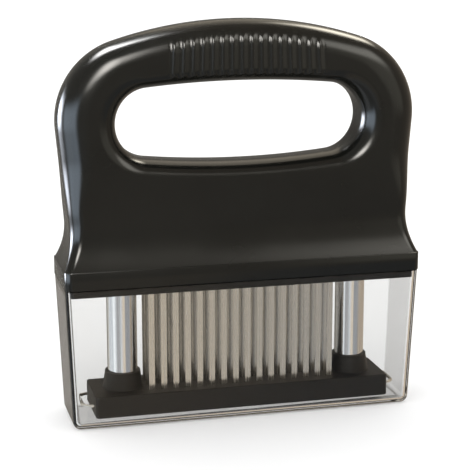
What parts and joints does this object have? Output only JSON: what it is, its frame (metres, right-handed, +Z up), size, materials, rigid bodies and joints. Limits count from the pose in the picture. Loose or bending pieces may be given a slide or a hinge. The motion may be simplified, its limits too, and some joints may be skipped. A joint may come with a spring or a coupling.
{
  "type": "blade meat tenderizer",
  "caption": "Hand-held meat tenderizer: waisted handle with a D-shaped finger opening, rows of narrow blades, a sprung foot plate on posts, and a clear blade guard.",
  "frame": {"origin": "middle of the guard's flat underside, on which the tool stands", "axes": "+Z up along the posts and blades, X along the tool's length, -Y is the front face"},
  "size_m": [0.15, 0.035, 0.165],
  "materials": {
    "black_plastic": "satin black moulded plastic",
    "clear_plastic": "clear moulded plastic",
    "frame_plastic": "plain moulded plastic",
    "bush_plastic": "natural acetal",
    "blade_steel": "ground stainless steel",
    "post_steel": "polished tube",
    "wire_steel": "bright spring wire",
    "screw_steel": "plain steel"
  },
  "bodies": {
    "cover": {"clear_cover": "clear_plastic"},
    "handle": {"handle_body": "black_plastic", "base_plate": "black_plastic", "base_plate_screws": "screw_steel", "blade_cassette_front": "frame_plastic", "blade_cassette_middle": "frame_plastic", "blade_cassette_rear": "frame_plastic", "blades_front": "blade_steel", "blades_middle": "blade_steel", "blades_rear": "blade_steel", "clamp_plate": "frame_plastic", "clamp_screws": "screw_steel", "guide_bush_left": "bush_plastic", "guide_bush_right": "bush_plastic", "return_spring_left": "wire_steel", "return_spring_right": "wire_steel"},
    "foot": {"foot_plate": "black_plastic", "post_tube_left": "post_steel", "post_tube_right": "post_steel", "post_plug_left": "frame_plastic", "post_plug_right": "frame_plastic", "retaining_clip_left": "wire_steel", "retaining_clip_right": "wire_steel"}
  },
  "joints": [
    {"name": "lift_out", "type": "slide", "parent": "cover", "child": "handle", "axis": [0, 0, 1], "range_m": [0, 0.07]},
    {"name": "foot_press", "type": "slide", "parent": "handle", "child": "foot", "axis": [0, 0, 1], "range_m": [0, 0.03], "stiffness_N_per_m": 800, "springref_m": -0.01, "deforming": ["return_spring_left", "return_spring_right"]}
  ]
}
